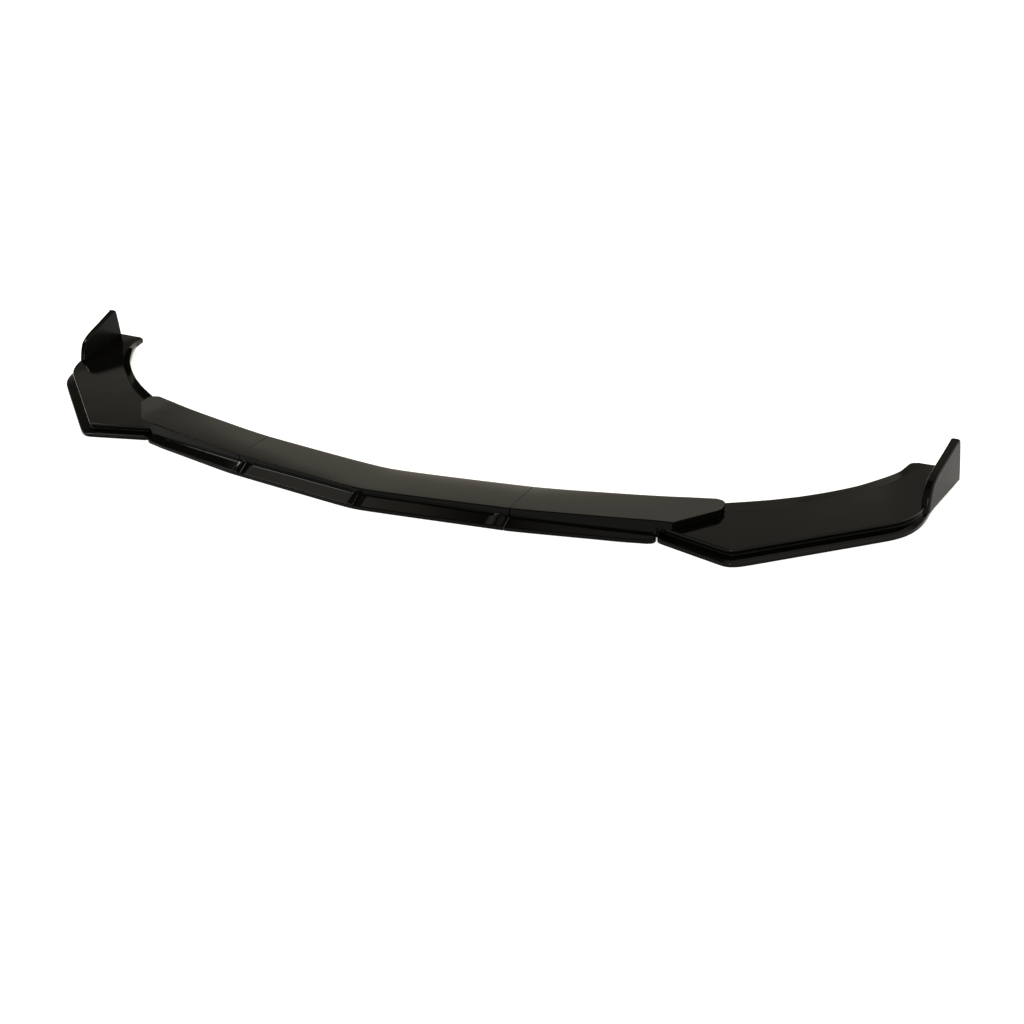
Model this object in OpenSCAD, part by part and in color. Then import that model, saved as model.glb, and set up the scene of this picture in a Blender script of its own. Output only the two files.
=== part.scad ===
// Front splitter lip of five moulded panels: a centre panel, two inner panels and two side
// panels that each carry an upright fin. The panels are thin shells, open underneath and
// stiffened by a grid of ribs, and they are screwed together from below at four joints.
// Millimetres. X runs across the car, -Y is forward, Z is up. The lip stands on z = 0 and the
// origin is the middle of its footprint.

/* [Overall plan] */
// Sweep of the centre panel's lip to either side of the nose, rise over run
sweep = 0.1165; // [0.1145:0.0005:0.1185]
// Softness of the point in the middle of the nose
nose_soft = 18; // [12:1:26]
// Depth of the centre panel in the middle, from lip to rear edge
centre_depth = 120.5; // [119:0.5:122]
// Distance of the seams of the centre panel from the middle
seam_x = 264; // [261:1:267]

/* [Section of the centre and inner panels] */
// Height of the top's front edge in the middle
nose_h = 25.5; // [25:0.1:26.5]
// How much lower the rear edge lies there
rear_drop = 5; // [4:0.5:6]
// Height of the level tops at the outer ends
end_h = 34.2; // [33.8:0.1:34.8]
// Swell of the top between its front and rear edges
crown_h = 1; // [0:0.1:1.2]
// Thickness of every moulded wall
wall = 3; // [2.6:0.1:3.2]
// How far the lower lip stands out past the top edge in the middle
lip_out = 25.6; // [25:0.1:26.2]
// How far it stands out at the seams
lip_out_seam = 23.4; // [23:0.1:23.8]
// Depth of the groove under the top edge
groove = 0.9; // [0.4:0.1:1.4]
// Height of the lip's front face
lip_h = 5.4; // [4.8:0.1:5.8]

/* [Side panels] */
// Height of the flat blade
blade_h = 21.7; // [20:0.1:23]
// Height of the raised inner edge
ramp_h = 29; // [27:0.5:30]
// Width of the raised strip along the inner edge
ramp_w = 20; // [14:1:26]

/* [Fins] */
// Thickness of the fin at its rounded nose
fin_t = 14; // [12:0.5:16]
// Thickness at the trailing edge
fin_tail_t = 9; // [8:0.5:12]
// Height of the fin's tip above the ground
fin_h = 88; // [84:1:92]
// Inward lean of the fin, run over rise
fin_lean = 0.06; // [0:0.01:0.1]

/* [Ribs] */
// Thickness of the ribs
rib = 2.4; // [2:0.1:3]
// Rib bays along each arm of the centre panel
centre_bays = 4; // [3:1:5]
// Rib bays along the straight run of an inner panel
inner_bays = 4; // [3:1:5]

/* [Joints] */
// Diameter of the screw shanks and of the bores that take them
shank_d = 4; // [3.5:0.1:4.5]
// Diameter of the screw bosses
boss_d = 10; // [9:0.5:12]
// Diameter of the clearance holes in the tongues
clear_d = 5.2; // [5:0.1:5.5]
// Washer diameter
washer_d = 12; // [11:0.5:13]
// Thickness of a joint tongue
tongue_t = 3; // [2.5:0.1:3.5]
// Gap left at the visible seams
seam_gap = 0.4; // [0.2:0.1:0.6]

/* [Hidden] */
// Foremost and rearmost points of the plan, so that the frame sits in the middle of the depth
front_y = 2 + sweep * nose_soft;
rear_y = 460;
mid_y = (front_y + rear_y) / 2;
panel_grey = [0.13, 0.13, 0.14];
side_grey = [0.17, 0.17, 0.18];
steel = [0.62, 0.63, 0.65];
eps = 0.05;
// Underside of the tongue on the centre panel
tongue_z = 11;
// Height of a side panel's blade, short for its table of rows
b0 = blade_h;

// Curves through rows of control values, all columns at once
function spline(a, b, c, d, t) =
    0.5 * (2 * b + (c - a) * t + (2 * a - 5 * b + 4 * c - d) * t * t
        + (3 * b - a - 3 * c + d) * t * t * t);
function row_at(rows, s) =
    let (n = len(rows), i = min(max(floor(s), 0), n - 2))
    spline(rows[max(i - 1, 0)], rows[i], rows[i + 1], rows[min(i + 2, n - 1)], s - i);
function steps(a, b, n) = [for (i = [0:n]) a + (b - a) * i / n];
function mix(a, b, t) = a + (b - a) * t;

// Joins lofted skins and their cavities into one closed moulding before bores are drilled in it
module moulded() {
    resize([0, 0, 0]) children();
}

// A closed solid through a list of loops that all have the same number of points
module skin(loops) {
    m = len(loops);
    n = len(loops[0]);
    sides = [for (i = [0:m - 2]) for (j = [0:n - 1])
        let (a = i * n + j, b = i * n + (j + 1) % n, c = a + n, d = b + n)
        each [[a, b, d], [a, d, c]]];
    first = [for (j = [0:n - 1]) n - 1 - j];
    last = [for (j = [0:n - 1]) (m - 1) * n + j];
    polyhedron(points = [for (l = loops) for (p = l) p], faces = concat([first], sides, [last]),
        convexity = 6);
}

// Share of the way from a seam to the level top at the outer end
level_x = 520;
function outward(x) = min(1, max(0, (abs(x) - seam_x) / (level_x - seam_x)));
// Heights of the top's front and rear edges, lowest in the middle
function front_h(x) = mix(nose_h + 3 * pow(min(1, abs(x) / seam_x), 2), end_h, outward(x));
function rear_h(x) =
    mix(nose_h - rear_drop + 4.6 * pow(min(1, abs(x) / seam_x), 1.5), end_h, outward(x));

// Plan of the centre panel: [x, lip, rear edge, lip overhang]
function centre_row(x) =
    [x, 2 + sweep * norm([x, nose_soft]), front_y + centre_depth + 0.094 * (norm([x, 30]) - 30),
     mix(lip_out, lip_out_seam, pow(x / seam_x, 2))];
// Plan of an inner panel, which bends further back towards its outer end
inner_rows = concat([centre_row(seam_x - 22), centre_row(seam_x)],
    [[285, 36.3, 149.3, 22.9], [325, 44.2, 155.1, 21.8], [370, 53.4, 162.8, 20.5],
     [415, 62.6, 170.6, 19.3], [450, 69.7, 177, 18.6], [490, 79.6, 185.2, 16.4],
     [level_x, 84.5, 192.6, 15], [550, 86, 200.5, 14], [590, 88, 212, 14]]);

// Top surface at a distance d behind the lip, swelling a little between its edges
function top_z(r, d) =
    let (x = r[0], t = (d - r[3]) / (r[2] - r[1] - r[3]))
    mix(front_h(x), rear_h(x), t) + 4 * crown_h * (1 - outward(x)) * t * (1 - t);
function roof(r, ds) = [for (d = ds) [r[0], r[1] + d, top_z(r, d) - wall]];
// Height of the ramp behind the lip where it meets the face under the top edge
function ramp_end(p) = lip_h + 2.7 + 0.36 * (p - 8.2);

// Wedge-shaped gussets across the ramp, one in the middle and one before each seam
wedge_x = seam_x - 16;
function wedge(x) =
    let (a = abs(x))
    max(0, 1 - a / 21, (a < wedge_x) ? 1 - (wedge_x - a) / 24 : 1 - (a - wedge_x) / 15.8);

// Outer section at one row, from the foot of the lip round to the rear flange
function outer_loop(r) =
    let (x = r[0], l = r[1], d = r[2] - r[1], p = r[3], hf = front_h(x), hr = rear_h(x),
         u = groove * (1 - outward(x)), zr = ramp_end(p), g = wedge(x),
         tip = (abs(x) < seam_x / 2) ? p - 5 : p - 2,
         rise = lip_h + 2.7 + (zr + 5.1 - lip_h - 2.7) * (p - 8.7) / (tip - 3.2))
    concat([for (q = [[4, 0], [1.3, 0], [0.35, 0.4], [0, 1.3], [0, lip_h], [0.45, lip_h + 1.3],
            [1.6, lip_h + 2.1], [3.2, lip_h + 2.7], [p - 5.5, mix(zr, rise, g)],
            [mix(p - 3, tip, g), zr + mix(1.1, 5.1, g)],
            [mix(p - 1.6 + u, mix(tip, p, 0.4), g), zr + mix(2.9, 5.9, g)],
            [mix(p - 1.2 + u, mix(tip, p, 0.7), g), zr + mix(5, 6.9, g)],
            [p - 0.4, hf - 4], [p + 0.1, hf - 1.8], [p + 1, hf - 0.5]]) [x, l + q[0], q[1]]],
        [for (q = [p + 2.6, mix(p, d, 0.15), mix(p, d, 0.4), mix(p, d, 0.7), d - 3])
            [x, l + q, top_z(r, q)]],
        [for (q = [[d - 1.2, hr - 0.5], [d - 0.3, hr - 1.6], [d, hr - 3.5], [d, hr - 10]])
            [x, l + q[0], q[1]]]);
// Inner face of the front wall at one row, from below upwards
function front_inside(r) =
    let (x = r[0], l = r[1], p = r[3], w = wall, hf = front_h(x), zr = ramp_end(p),
         u = groove * (1 - outward(x)))
    [for (q = [[w + 0.4, -2], [w + 0.2, 3.6], [w + 0.9, 4.8], [p - 3.6, zr - 2.7],
        [p - 0.2, zr - 0.6], [p + 1.6 + u, zr + 2.2], [p + 1.8 + u, zr + 4.8],
        [p + w - 0.2, hf - w - 1], [p + w + 1, hf - w]]) [x, l + q[0], q[1]]];
// Cavity in front of the long rib, cavity behind it, and one undivided cavity
function mid_rib(r) = (r[3] + r[2] - r[1]) / 2;
function rear_inside(r) =
    let (x = r[0], e = r[2] - wall)
    [[x, e, rear_h(x) - wall - 1.5], [x, e, rear_h(x) - 14]];
function front_bay(r) =
    let (m = mid_rib(r) - rib / 2)
    concat(front_inside(r), roof(r, [(r[3] + m) / 2, m]), [[r[0], r[1] + m, 2]]);
function rear_bay(r) =
    let (m = mid_rib(r) + rib / 2, e = r[2] - r[1] - wall)
    concat([[r[0], r[1] + m, 2]], roof(r, [m, (m + e) / 2, e - 1.5]), rear_inside(r));
function whole_bay(r) =
    let (m = mid_rib(r), e = r[2] - r[1] - wall)
    concat(front_inside(r), roof(r, [(r[3] + m) / 2, m, (m + e) / 2, e - 1.5]), rear_inside(r));

// Screw places: [x, y] of the joints on the right-hand side
centre_screws = [[seam_x + 19, 78], [seam_x + 19, 114]];
side_screws = [[530, 132], [543, 158]];

module tongue_shape() {
    polygon([[seam_x - 4, 61], [seam_x + 30, 66], [seam_x + 34, 70], [seam_x + 34, 121],
             [seam_x + 30, 125], [seam_x - 4, 121]]);
}

module centre_half_cuts() {
    step = (seam_x - wall) / centre_bays;
    for (i = [0:centre_bays - 1]) {
        b = step * (i + 1) - ((i == centre_bays - 1) ? 0 : rib / 2);
        xs = (i == 0) ? [rib / 2, 20, b] : [step * i + rib / 2, b];
        skin([for (x = xs) front_bay(centre_row(x))]);
        skin([for (x = xs) rear_bay(centre_row(x))]);
    }
}

module centre_body() {
    arm = [9, 21, 60, 100, 140, 190, wedge_x - 24, wedge_x, seam_x - seam_gap / 2];
    xs = concat([for (k = [len(arm) - 1:-1:0]) -arm[k]], [0], arm);
    moulded() difference() {
        skin([for (x = xs) outer_loop(centre_row(x))]);
        for (m = [0, 1]) mirror([m, 0, 0]) centre_half_cuts();
    }
    for (m = [0, 1]) mirror([m, 0, 0]) centre_tongue();
}

// Tongue that reaches under the neighbouring panel's bosses
module centre_tongue() {
    difference() {
        translate([0, 0, tongue_z]) linear_extrude(tongue_t) tongue_shape();
        for (c = centre_screws) translate([c[0], c[1], tongue_z - 1])
            cylinder(d = clear_d, h = 8, $fn = 32);
    }
}

// Plan of an inner panel's outer end: the upper part laps over the side panel's blade
module inner_end_plan(inset = 0) {
    polygon(concat([[seam_x - 30, 0], [519.5 - inset, 0], [520.5 - inset, 98.5]],
        [for (a = [-38:19:0]) [561.5 + (15 - inset) * cos(a), 173 + (15 - inset) * sin(a)]],
        [for (a = [0:22.5:90]) [563.5 + (13 - inset) * cos(a), 189 + (13 - inset) * sin(a)]],
        [[556, 230], [seam_x - 30, 230]]));
}

module inner_body() {
    s0 = 1 + seam_gap / 2 / 23;
    moulded() difference() {
        intersection() {
            skin([for (s = [s0, 2, 3, 4, 5, 6, 7, 8, 10]) outer_loop(row_at(inner_rows, s))]);
            translate([0, 0, -5]) linear_extrude(60) inner_end_plan();
        }
        // The lower part stops short, with a rounded end to its lip
        translate([0, 0, -1]) linear_extrude(blade_h + 1 + eps) lip_end_plan();
        inner_cuts(s0);
        // The side panel's blade and raised edge pass underneath
        translate([0, 0, 0.1]) blade_envelope();
    }
    inner_bosses();
}

module lip_end_plan() {
    polygon(concat([[600, 60], [600, 240], [498, 240]],
        [for (a = [0:-18:-90]) [490 + 8 * cos(a), 90 + 9 * sin(a)]], [[489, 60]]));
}

module inner_cuts(s0) {
    // Open at the seam, where the centre panel's tongue comes in
    skin([for (s = [0.9, 2, 2.7]) whole_bay(row_at(inner_rows, s))]);
    for (i = [0:inner_bays - 1]) {
        w = 0.03;
        a = mix(2.7, 6.95, i / inner_bays) + 2 * w;
        b = mix(2.7, 6.95, (i + 1) / inner_bays) - ((i == inner_bays - 1) ? 0 : w);
        ss = [a, b];
        skin([for (s = ss) front_bay(row_at(inner_rows, s))]);
        skin([for (s = ss) rear_bay(row_at(inner_rows, s))]);
    }
    intersection() {
        skin([for (s = [7.02, 8, 10]) end_bay(row_at(inner_rows, s))]);
        translate([0, 0, -5]) linear_extrude(60) inner_end_plan(wall);
    }
}

// Cavity over the side panel's blade
function end_bay(r) =
    let (x = r[0], l = r[1], p = r[3], m = mid_rib(r), e = r[2] - l - wall, hf = front_h(x))
    concat([[x, l + p + wall, 12], [x, l + p + wall, hf - wall - 1], [x, l + p + wall + 1, hf - wall]],
        roof(r, [(p + m) / 2, m, (m + e) / 2, e - 1.5]),
        [[x, l + e, rear_h(x) - wall - 1.5], [x, l + e, 12]]);

// Underside of an inner panel's top over a screw place near the seam
function roof_over(c) = let (r = row_at(inner_rows, 1 + (c[0] - seam_x) / (285 - seam_x)))
    top_z(r, c[1] - r[1]) - wall;

module inner_bosses() {
    for (c = centre_screws) boss(c, tongue_z + tongue_t, roof_over(c) + 0.5);
    for (c = side_screws) boss(c, blade_h, end_h - wall + 0.5);
}

module boss(c, z0, z1) {
    translate([c[0], c[1], z0]) difference() {
        cylinder(d = boss_d, h = z1 - z0, $fn = 40);
        translate([0, 0, -1]) cylinder(d = shank_d, h = min(z1 - z0 - 1.6, 12.5) + 1, $fn = 32);
    }
}

// Plan and heights of a side panel, row by row from the joint to the tail:
// [lip x, lip y, edge x, edge y, inner x, inner y, edge z, crease z, lip foot z]
side_rows = [
    [500, 93, 504, 103, 526, 183, b0, b0, 0],
    [506, 87.5, 512, 100, 540, 188, b0, b0, 0],
    [526, 82, 532, 95, 566, 200, b0, b0, 0],
    [562, 73, 566, 86.5, 604, 221.5, b0, b0, 0],
    [594, 65, 598, 79, 636, 241, b0, b0, 0],
    [610, 61, 613, 76.5, 654, 253.5, b0, b0, 0],
    [621, 59.5, 621, 76, 663, 260, b0, b0, 0],
    [632, 62.5, 628, 79, 674, 268, b0, b0, 0],
    [648, 73, 638, 88, 690, 281, b0, b0, 0],
    [695, 113.5, 683, 127, 718, 306, b0, b0, 0],
    [752, 163, 740, 177, 750, 339, b0, b0 + 0.1, 0],
    [806, 210, 794, 223.5, 778, 377, b0, b0 + 0.6, 0],
    [836, 238, 823, 249, 793, 400, b0 + 0.1, b0 + 1.6, 0],
    [853, 264, 839, 266, 802, 418, b0 + 0.5, b0 + 3, 0],
    [862, 291, 853, 290, 806, 428, b0 + 1.3, b0 + 4, 0],
    [866, 318, 861, 316, 809.5, 436, b0 + 2.2, b0 + 4.8, 0.5],
    [868, 345, 864, 344, 812.5, 442, b0 + 3.2, b0 + 5.5, 1.5],
    [876, 400, 872, 398, 817, 448, b0 + 5.2, b0 + 6.4, 5],
    [887, 458, 884, 458, 826, 454, b0 + 7, b0 + 7.1, 9]];

// A point of a side row: part of the way from lip to edge, or from edge to inner edge
function across_lip(r, u, z) =
    let (f = u / 15.5)
    [mix(r[0], r[2], f), mix(r[1], r[3], f), z];
function across_blade(r, d, z) =
    let (w = norm([r[4] - r[2], r[5] - r[3]]), f = (d >= 0) ? d / w : 1 + d / w)
    [mix(r[2], r[4], f), mix(r[3], r[5], f), z];

function side_outer(r) =
    let (e = r[6], c = r[7], z = max(0, r[8]), k = (e - z) / b0)
    concat(
        [for (q = [[4, 0], [1.3, 0], [0.35, 0.4], [0, 1.3], [0, 5], [0.45, 6.2], [1.6, 7],
            [3.2, 7.4], [13.2, 9.6], [16.2, 10.9], [17.3, 12.9], [16.7, 15], [15.2, 16.8],
            [14.8, 18.3], [15, 20]]) across_lip(r, q[0], z + q[1] * k)],
        [across_blade(r, 0.6, e - 0.6), across_blade(r, 2.2, e),
         across_blade(r, -ramp_w - 3, c), across_blade(r, -ramp_w + 1, c + 0.35),
         across_blade(r, -5, ramp_h - 1.2), across_blade(r, -2, ramp_h - 0.3),
         across_blade(r, -0.6, ramp_h - 0.7), [r[4], r[5], ramp_h - 2.2], [r[4], r[5], ramp_h - 8]]);

function side_front_inside(r) =
    let (e = r[6], z = r[8], w = wall, k = (e - z) / b0)
    concat([for (q = [[w + 0.4, -2], [w + 0.2, 3.2], [w + 0.9, 4.3], [13.6, 6.6]])
        across_lip(r, q[0], z + q[1] * k)],
        [for (q = [[2.6, 8.4], [5, 11.2], [5, 14.2], [3.4, 17.2], [3.4, b0 - w - 0.3], [4.6, b0 - w]])
        across_blade(r, q[0], z + q[1] * k)]);
function side_mid(r) = norm([r[4] - r[2], r[5] - r[3]]) / 2;
function side_front_bay(r) =
    let (m = side_mid(r) - rib / 2)
    concat(side_front_inside(r), [across_blade(r, m, r[6] - wall), across_blade(r, m, 2)]);
function side_rear_bay(r) =
    let (m = side_mid(r) + rib / 2, zc = r[7] - wall)
    [across_blade(r, m, 2), across_blade(r, m, mix(r[6], r[7], 0.6) - wall),
     across_blade(r, -ramp_w - 3, zc), across_blade(r, -ramp_w + 1, zc + 0.2),
     across_blade(r, -wall - 1.5, ramp_h - wall - 1), across_blade(r, -wall, ramp_h - wall - 2),
     across_blade(r, -wall, 12)];
function side_whole_bay(r) =
    let (zc = r[7] - wall)
    concat(side_front_inside(r),
    [across_blade(r, -ramp_w - 3, zc), across_blade(r, -ramp_w + 1, zc + 0.2),
     across_blade(r, -wall - 1.5, ramp_h - wall - 1), across_blade(r, -wall, ramp_h - wall - 2),
     across_blade(r, -wall, 12)]);

module blade_envelope() {
    skin([for (s = steps(0, 4, 4)) side_outer(row_at(side_rows, s))]);
}

module side_skin() {
    stations = concat(steps(0, 5, 5), [5.4, 5.8, 6.2, 6.6, 7, 7.5], steps(8, 12, 4),
        [12.5, 13, 13.5], steps(14, 18, 4));
    skin([for (s = stations) side_outer(row_at(side_rows, s))]);
}

// Half of a rib's thickness, turned into a share of the distance between rows
function rib_share(s) =
    let (a = row_at(side_rows, s - 0.2), b = row_at(side_rows, s + 0.2))
    rib / 2 * 0.4 / norm([b[2] + b[4] - a[2] - a[4], b[3] + b[5] - a[3] - a[5]]) * 2;

module side_cuts() {
    skin([for (s = [0.35, 1, 2, 2.9]) side_whole_bay(row_at(side_rows, s))]);
    ribs = [2.9, 4, 5.6, 7.6, 8.9, 9.8, 10.7, 11.7, 12.8];
    for (i = [0:len(ribs) - 2]) {
        a = ribs[i] + rib_share(ribs[i]) * ((i == 0) ? 2 : 1);
        b = ribs[i + 1] - rib_share(ribs[i + 1]);
        ss = (b > 5 && a < 7) ? [a, (a + b) / 2, b] : [a, b];
        skin([for (s = ss) side_front_bay(row_at(side_rows, s))]);
        skin([for (s = ss) side_rear_bay(row_at(side_rows, s))]);
    }
    skin([for (s = [12.8 + rib_share(12.8), 14, 15.5, 17]) side_rear_bay(row_at(side_rows, s))]);
}

// The fin: a profile in its own plane, [distance back, height, outward unit], rounded over its edge
fin_rows = [
    [316, 12, -1, 0.1], [316.5, 26, -1, 0.1], [327, 40, -0.8, 0.5], [341, 51.5, -0.6, 0.8],
    [358, 61.5, -0.45, 0.9], [380, 70, -0.33, 0.95], [408, 78.2, -0.28, 0.96],
    [434, fin_h - 1.6, -0.25, 0.97], [442, fin_h, 0.1, 1], [448.5, fin_h - 2.5, 0.7, 0.7],
    [451.5, fin_h - 9, 1, 0.2], [456, 50, 1, 0.1], [460, 9.5, 1, 0]];
// Turn of the fin's foot away from the direction of travel, run over rise
fin_turn = 0.178;

// One side of the fin's thickness at a share q from inner face (-1) to outer face (1)
function fin_loop(q, cut, low) =
    let (grow = sin(acos(-q)))
    [for (i = [0:len(fin_rows) - 1])
        let (r = fin_rows[i],
             end = i == 0 || i == len(fin_rows) - 1,
             half = mix(fin_t, fin_tail_t, (r[0] - 316) / 144) / 2 - cut,
             e = ((i > 8) ? 0.35 : 1) * half * (grow - 1),
             y = r[0] + r[2] * (e - cut),
             z = end ? ((low < 0) ? low : r[1]) : r[1] + r[3] * (e - cut),
             x = 861 + fin_turn * (y - 322) - fin_lean * (z - 26) + q * half)
        [x, y, z]];

module fin() {
    qs = [for (a = [0:22.5:180]) -cos(a)];
    skin([for (q = qs) fin_loop(q, 0, 1)]);
}

module fin_cavity() {
    qs = [for (a = [0:45:180]) -cos(a)];
    skin([for (q = qs) fin_loop(q, wall, -3)]);
}

module side_body() {
    difference() {
        moulded() difference() {
            union() {
                side_skin();
                fin();
            }
            side_cuts();
            fin_cavity();
        }
        for (c = side_screws) translate([c[0], c[1], 5]) cylinder(d = clear_d, h = 25, $fn = 32);
    }
}

// Hardware of the joints, seen from below only
module washer(c, z) {
    translate([c[0], c[1], z]) difference() {
        cylinder(d = washer_d, h = 1, $fn = 40);
        translate([0, 0, -1]) cylinder(d = shank_d + 0.4, h = 3, $fn = 32);
    }
}

// Pan-head screw pointing up, its head's seat at height z
module screw(c, z, reach) {
    translate([c[0], c[1], z]) {
        difference() {
            union() {
                translate([0, 0, -1.4]) cylinder(d = 8.6, h = 1.4, $fn = 40);
                translate([0, 0, -2.8]) cylinder(d1 = 6, d2 = 8.6, h = 1.4, $fn = 40);
            }
            for (t = [0, 90]) rotate([0, 0, t]) translate([-2.2, -0.5, -3.8]) cube([4.4, 1, 2.4]);
        }
        cylinder(d = shank_d, h = reach - 1.5, $fn = 32);
        translate([0, 0, reach - 1.5]) cylinder(d1 = shank_d, d2 = 1.6, h = 1.5, $fn = 32);
    }
}

module placed(side = 1) {
    translate([0, -mid_y, 0]) mirror([(side < 0) ? 1 : 0, 0, 0]) children();
}

module centre_panel() { color(panel_grey) placed() centre_body(); }
module inner_panel_right() { color(panel_grey) placed() inner_body(); }
module inner_panel_left() { color(panel_grey) placed(-1) inner_body(); }
module side_panel_right() { color(side_grey) placed() side_body(); }
module side_panel_left() { color(side_grey) placed(-1) side_body(); }

module centre_washers() { for (c = centre_screws) washer(c, tongue_z - 1); }
module centre_screw_set() { for (c = centre_screws) screw(c, tongue_z - 1, 11.5); }
module side_washers() { for (c = side_screws) washer(c, blade_h - wall - 1); }
module side_screw_set() { for (c = side_screws) screw(c, blade_h - wall - 1, 11.5); }

module centre_joint_washers_right() { color(steel) placed() centre_washers(); }
module centre_joint_washers_left() { color(steel) placed(-1) centre_washers(); }
module centre_joint_screws_right() { color(steel) placed() centre_screw_set(); }
module centre_joint_screws_left() { color(steel) placed(-1) centre_screw_set(); }
module side_joint_washers_right() { color(steel) placed() side_washers(); }
module side_joint_washers_left() { color(steel) placed(-1) side_washers(); }
module side_joint_screws_right() { color(steel) placed() side_screw_set(); }
module side_joint_screws_left() { color(steel) placed(-1) side_screw_set(); }

centre_panel();
inner_panel_left();
inner_panel_right();
side_panel_left();
side_panel_right();
centre_joint_washers_left();
centre_joint_washers_right();
centre_joint_screws_left();
centre_joint_screws_right();
side_joint_washers_left();
side_joint_washers_right();
side_joint_screws_left();
side_joint_screws_right();
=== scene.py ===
"""Looks of a front splitter lip: five gloss-black moulded panels in a plain white studio.

Metres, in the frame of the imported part: X across the car, -Y forward, Z up.
"""

import logging
import math
from dataclasses import dataclass
from enum import Enum

import bmesh
import bpy
from mathutils import Matrix, Vector

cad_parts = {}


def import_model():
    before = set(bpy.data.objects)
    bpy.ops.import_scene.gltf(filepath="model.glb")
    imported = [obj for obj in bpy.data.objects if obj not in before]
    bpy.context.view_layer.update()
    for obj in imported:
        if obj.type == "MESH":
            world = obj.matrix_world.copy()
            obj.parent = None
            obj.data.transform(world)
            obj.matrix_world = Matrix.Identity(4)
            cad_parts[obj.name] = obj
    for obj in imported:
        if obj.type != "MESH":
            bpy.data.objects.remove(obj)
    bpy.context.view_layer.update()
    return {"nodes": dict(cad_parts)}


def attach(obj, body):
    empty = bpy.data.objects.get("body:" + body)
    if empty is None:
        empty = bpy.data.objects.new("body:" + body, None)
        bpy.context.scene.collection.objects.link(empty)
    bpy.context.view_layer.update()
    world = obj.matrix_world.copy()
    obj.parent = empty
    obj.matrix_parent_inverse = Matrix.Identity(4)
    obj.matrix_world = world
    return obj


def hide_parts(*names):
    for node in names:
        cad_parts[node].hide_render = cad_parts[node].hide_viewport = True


LOG = logging.getLogger("splitter_lip")
BODY = "root"
MM = 0.001
# Middle of the footprint's depth in the plan's own millimetres
PLAN_MID_Y = 232.049
# Thickness of every rib, in the plan's millimetres
RIB = 2.4
# Average painted sheen of its corners above which a face takes the bright copy of the gloss black, a
# painted highlight, and down to which it takes the dim copy, painted shade
PAINTED_BRIGHT_ABOVE = 0.6
PAINTED_DIM_ABOVE = -0.6
# Radius and steps of the rims at the seams
SEAM_RIM = (0.5, 3)
# Edges that bend more than this stay sharp
CREASE = math.radians(32)
# Share of an edge that a rounded corner takes at most, and the shortest length to divide by
LONGEST_CUT = 0.47
TINY = 1e-6
TUBE_SIDES = 32

# A place in plan, three numbers such as a point, and a closed loop of x, y, z and painted sheen
Flat = tuple[float, float]
Triple = tuple[float, float, float]
Loop = list[tuple[float, float, float, float]]


class Side(Enum):
    """The half of the car that a panel belongs to; the value turns X over."""

    RIGHT = 1
    LEFT = -1

    @property
    def word(self) -> str:
        """The word used in node names."""
        return self.name.lower()


class Slot(Enum):
    """Material slots of the record."""

    PANEL = "gloss_black"
    FASTENER = "zinc_steel"


def new_group(name: str, inputs: dict[str, tuple[str, object]],
              outputs: dict[str, str]) -> bpy.types.NodeTree:
    """Makes an empty shader node group with named sockets.

    Args:
        name: Name of the group.
        inputs: Socket type and default value by socket name.
        outputs: Socket type by socket name.

    Returns:
        The new node group, with its group input and output nodes in place.
    """
    group = bpy.data.node_groups.new(name, "ShaderNodeTree")
    for label, (kind, value) in inputs.items():
        socket = group.interface.new_socket(name=label, in_out="INPUT", socket_type=kind)
        if value is not None:
            socket.default_value = value
    for label, kind in outputs.items():
        group.interface.new_socket(name=label, in_out="OUTPUT", socket_type=kind)
    group.nodes.new("NodeGroupInput")
    group.nodes.new("NodeGroupOutput")
    return group


def combine(tree: bpy.types.NodeTree, operation: str, first: bpy.types.NodeSocket,
            second: bpy.types.NodeSocket) -> bpy.types.NodeSocket:
    """Joins two numbers of a node tree with a Math node.

    Args:
        tree: Tree that gets the node.
        operation: Blender's name of the operation.
        first: Output that gives the first number.
        second: Output that gives the second number.

    Returns:
        The result's socket.
    """
    node = tree.nodes.new("ShaderNodeMath")
    node.operation = operation
    tree.links.new(first, node.inputs[0])
    tree.links.new(second, node.inputs[1])
    return node.outputs["Value"]


def noise(tree: bpy.types.NodeTree, place: bpy.types.NodeSocket, scale: float,
          detail: float) -> bpy.types.NodeSocket:
    """Adds a noise pattern to a node tree.

    Args:
        tree: Tree that gets the node.
        place: Output that gives the coordinates.
        scale: Scale of the pattern, per metre.
        detail: Octaves of finer noise.

    Returns:
        The pattern's socket.
    """
    node = tree.nodes.new("ShaderNodeTexNoise")
    node.inputs["Scale"].default_value = scale
    node.inputs["Detail"].default_value = detail
    tree.links.new(place, node.inputs["Vector"])
    return node.outputs["Fac"]


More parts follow.
